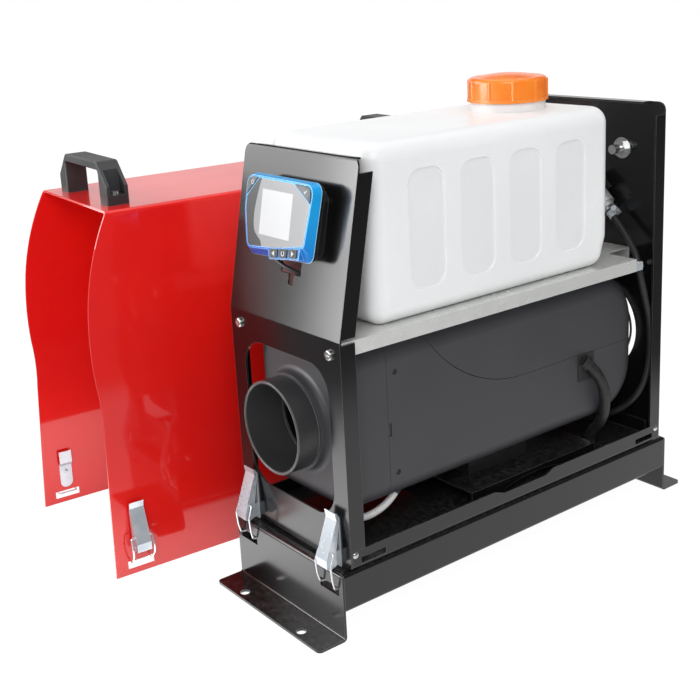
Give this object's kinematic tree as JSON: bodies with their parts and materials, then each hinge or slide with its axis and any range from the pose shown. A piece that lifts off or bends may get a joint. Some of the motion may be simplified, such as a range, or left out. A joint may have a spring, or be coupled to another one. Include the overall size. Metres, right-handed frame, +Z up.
{
  "type": "diesel air heater",
  "caption": "Fuel-burning air heater in a sheet-metal chassis on a stand, with a tank on a shelf, a controller on its sloped front and a lift-off cover beside it.",
  "frame": {"origin": "on the floor, at the centre of the four holes in the stand's feet", "axes": "+Z up; +X right across the front; +Y from the front (controller and outlet) to the back"},
  "size_m": [0.401, 0.4972, 0.404],
  "materials": {
    "black_sheet": "graphite-black satin powder coat",
    "galvanised_sheet": "galvanised, faint spangle",
    "tank_plastic": "translucent white polyethylene",
    "cap_plastic": "glossy orange moulding",
    "black_rubber": "matt black rubber",
    "heater_plastic": "fine-grained dark grey moulding",
    "white_plastic": "white moulding",
    "cast_aluminium": "die-cast aluminium",
    "steel_parts": "zinc-plated steel",
    "fan_plastic": "black glass-filled plastic",
    "circuit_board": "green board with parts",
    "brass_fitting": "turned brass",
    "white_nylon": "white nylon tube",
    "controller_black": "black moulding",
    "controller_blue": "metallic blue lacquer",
    "controller_glass": "clear window",
    "lcd_glass": "pale display",
    "key_silver": "silver-grey keys with white signs",
    "zinc_plate": "bluish bright zinc plate",
    "red_paint": "glossy red powder coat, slight orange peel",
    "handle_plastic": "dark grey moulding"
  },
  "bodies": {
    "chassis": {"stand_plates": "black_sheet", "stand_rails": "black_sheet", "rest_strips": "black_rubber", "floor_tray": "black_sheet", "front_panel": "black_sheet", "back_panel": "black_sheet", "shelf": "galvanised_sheet", "fuel_tank": "tank_plastic", "tank_outlet": "brass_fitting", "mount_plate": "black_sheet", "heater_lid": "heater_plastic", "heater_casing": "heater_plastic", "heater_front_cap": "heater_plastic", "outlet_duct": "heater_plastic", "intake_guard": "white_plastic", "heat_exchanger": "cast_aluminium", "burner": "steel_parts", "glow_plug": "steel_parts", "motor": "steel_parts", "control_board": "circuit_board", "exhaust_stub": "cast_aluminium", "intake_stub": "cast_aluminium", "fuel_pump": "steel_parts", "pump_holder": "black_rubber", "suction_hose": "black_rubber", "fuel_hose": "black_rubber", "fuel_line": "white_nylon", "hose_clamps": "steel_parts", "cable_grommet": "black_rubber", "heater_cable": "black_rubber", "power_terminal": "steel_parts", "panel_screws": "steel_parts", "controller_case": "controller_black", "controller_bezel": "controller_blue", "controller_lens": "controller_glass", "controller_display": "lcd_glass", "controller_cable": "black_rubber", "latch_plates": "zinc_plate"},
    "fan": {"fan_rotor": "fan_plastic", "combustion_fan": "fan_plastic"},
    "cover": {"cover_shell": "red_paint", "cover_handles": "handle_plastic", "cover_screws": "steel_parts", "cover_clips": "steel_parts", "cover_latch_plates": "zinc_plate"},
    "cap_gasket": {"cap_gasket": "black_rubber"},
    "tank_cap": {"tank_cap": "cap_plastic"},
    "button_power": {"button_power": "key_silver"},
    "button_ok": {"button_ok": "key_silver"},
    "button_left": {"button_left": "key_silver"},
    "button_set": {"button_set": "key_silver"},
    "button_right": {"button_right": "key_silver"},
    "latch_lever_left": {"latch_lever_left": "zinc_plate"},
    "latch_bail_left": {"latch_bail_left": "zinc_plate"},
    "latch_lever_right": {"latch_lever_right": "zinc_plate"},
    "latch_bail_right": {"latch_bail_right": "zinc_plate"},
    "cover_lever_left": {"cover_lever_left": "zinc_plate"},
    "cover_bail_left": {"cover_bail_left": "zinc_plate"},
    "cover_lever_right": {"cover_lever_right": "zinc_plate"},
    "cover_bail_right": {"cover_bail_right": "zinc_plate"}
  },
  "joints": [
    {"name": "fan_spin", "type": "hinge", "parent": "chassis", "child": "fan", "pos_m": [0, 0.112, 0.156], "axis": [0, 1, 0], "continuous": true},
    {"name": "cap_lift", "type": "slide", "parent": "chassis", "child": "cap_gasket", "axis": [0, 0, 1], "range_m": [0, 0.0181]},
    {"name": "cap_turn", "type": "hinge", "parent": "cap_gasket", "child": "tank_cap", "pos_m": [0, 0.0625, 0.3973], "axis": [0, 0, 1], "range_deg": [0, 1080]},
    {"name": "press_power", "type": "slide", "parent": "chassis", "child": "button_power", "axis": [0, 0.9807, -0.1954], "range_m": [0, 0.0008], "stiffness_N_per_m": 400},
    {"name": "press_ok", "type": "slide", "parent": "chassis", "child": "button_ok", "axis": [0, 0.9807, -0.1954], "range_m": [0, 0.0008], "stiffness_N_per_m": 400},
    {"name": "press_left", "type": "slide", "parent": "chassis", "child": "button_left", "axis": [0, 0.9807, -0.1954], "range_m": [0, 0.0008], "stiffness_N_per_m": 400},
    {"name": "press_set", "type": "slide", "parent": "chassis", "child": "button_set", "axis": [0, 0.9807, -0.1954], "range_m": [0, 0.0008], "stiffness_N_per_m": 400},
    {"name": "press_right", "type": "slide", "parent": "chassis", "child": "button_right", "axis": [0, 0.9807, -0.1954], "range_m": [0, 0.0008], "stiffness_N_per_m": 400},
    {"name": "latch_lever_left_swing", "type": "hinge", "parent": "chassis", "child": "latch_lever_left", "pos_m": [-0.056, -0.1925, 0.062], "axis": [1, 0, 0], "range_deg": [0, 90]},
    {"name": "latch_bail_left_swing", "type": "hinge", "parent": "latch_lever_left", "child": "latch_bail_left", "pos_m": [-0.056, -0.194, 0.071], "axis": [1, 0, 0], "range_deg": [-144, 0]},
    {"name": "latch_lever_right_swing", "type": "hinge", "parent": "chassis", "child": "latch_lever_right", "pos_m": [0.056, -0.1925, 0.062], "axis": [1, 0, 0], "range_deg": [0, 90]},
    {"name": "latch_bail_right_swing", "type": "hinge", "parent": "latch_lever_right", "child": "latch_bail_right", "pos_m": [0.056, -0.194, 0.071], "axis": [1, 0, 0], "range_deg": [-144, 0]},
    {"name": "cover_lever_left_swing", "type": "hinge", "parent": "cover", "child": "cover_lever_left", "pos_m": [-0.32018, -0.24217, 0.02627], "axis": [-0.0725, -0.9974, 0], "range_deg": [0, 90]},
    {"name": "cover_bail_left_swing", "type": "hinge", "parent": "cover_lever_left", "child": "cover_bail_left", "pos_m": [-0.32122, -0.24209, 0.03533], "axis": [-0.0725, -0.9974, 0], "range_deg": [-144, 0]},
    {"name": "cover_lever_right_swing", "type": "hinge", "parent": "cover", "child": "cover_lever_right", "pos_m": [-0.13047, -0.25596, 0.02627], "axis": [0.0725, 0.9974, 0], "range_deg": [0, 90]},
    {"name": "cover_bail_right_swing", "type": "hinge", "parent": "cover_lever_right", "child": "cover_bail_right", "pos_m": [-0.12943, -0.25604, 0.03533], "axis": [0.0725, 0.9974, 0], "range_deg": [-144, 0]},
    {"name": "cover_lift", "type": "slide", "parent": "chassis", "child": "cover", "axis": [0, 0, 1], "range_m": [0, 0.4]}
  ],
  "couplings": [
    {"joint": "cap_lift", "follows": "cap_turn", "m_per_rad": 0.00095493},
    {"joint": "latch_bail_left_swing", "follows": "latch_lever_left_swing", "ratio": -1.6},
    {"joint": "latch_bail_right_swing", "follows": "latch_lever_right_swing", "ratio": -1.6},
    {"joint": "cover_bail_left_swing", "follows": "cover_lever_left_swing", "ratio": -1.6},
    {"joint": "cover_bail_right_swing", "follows": "cover_lever_right_swing", "ratio": -1.6}
  ]
}
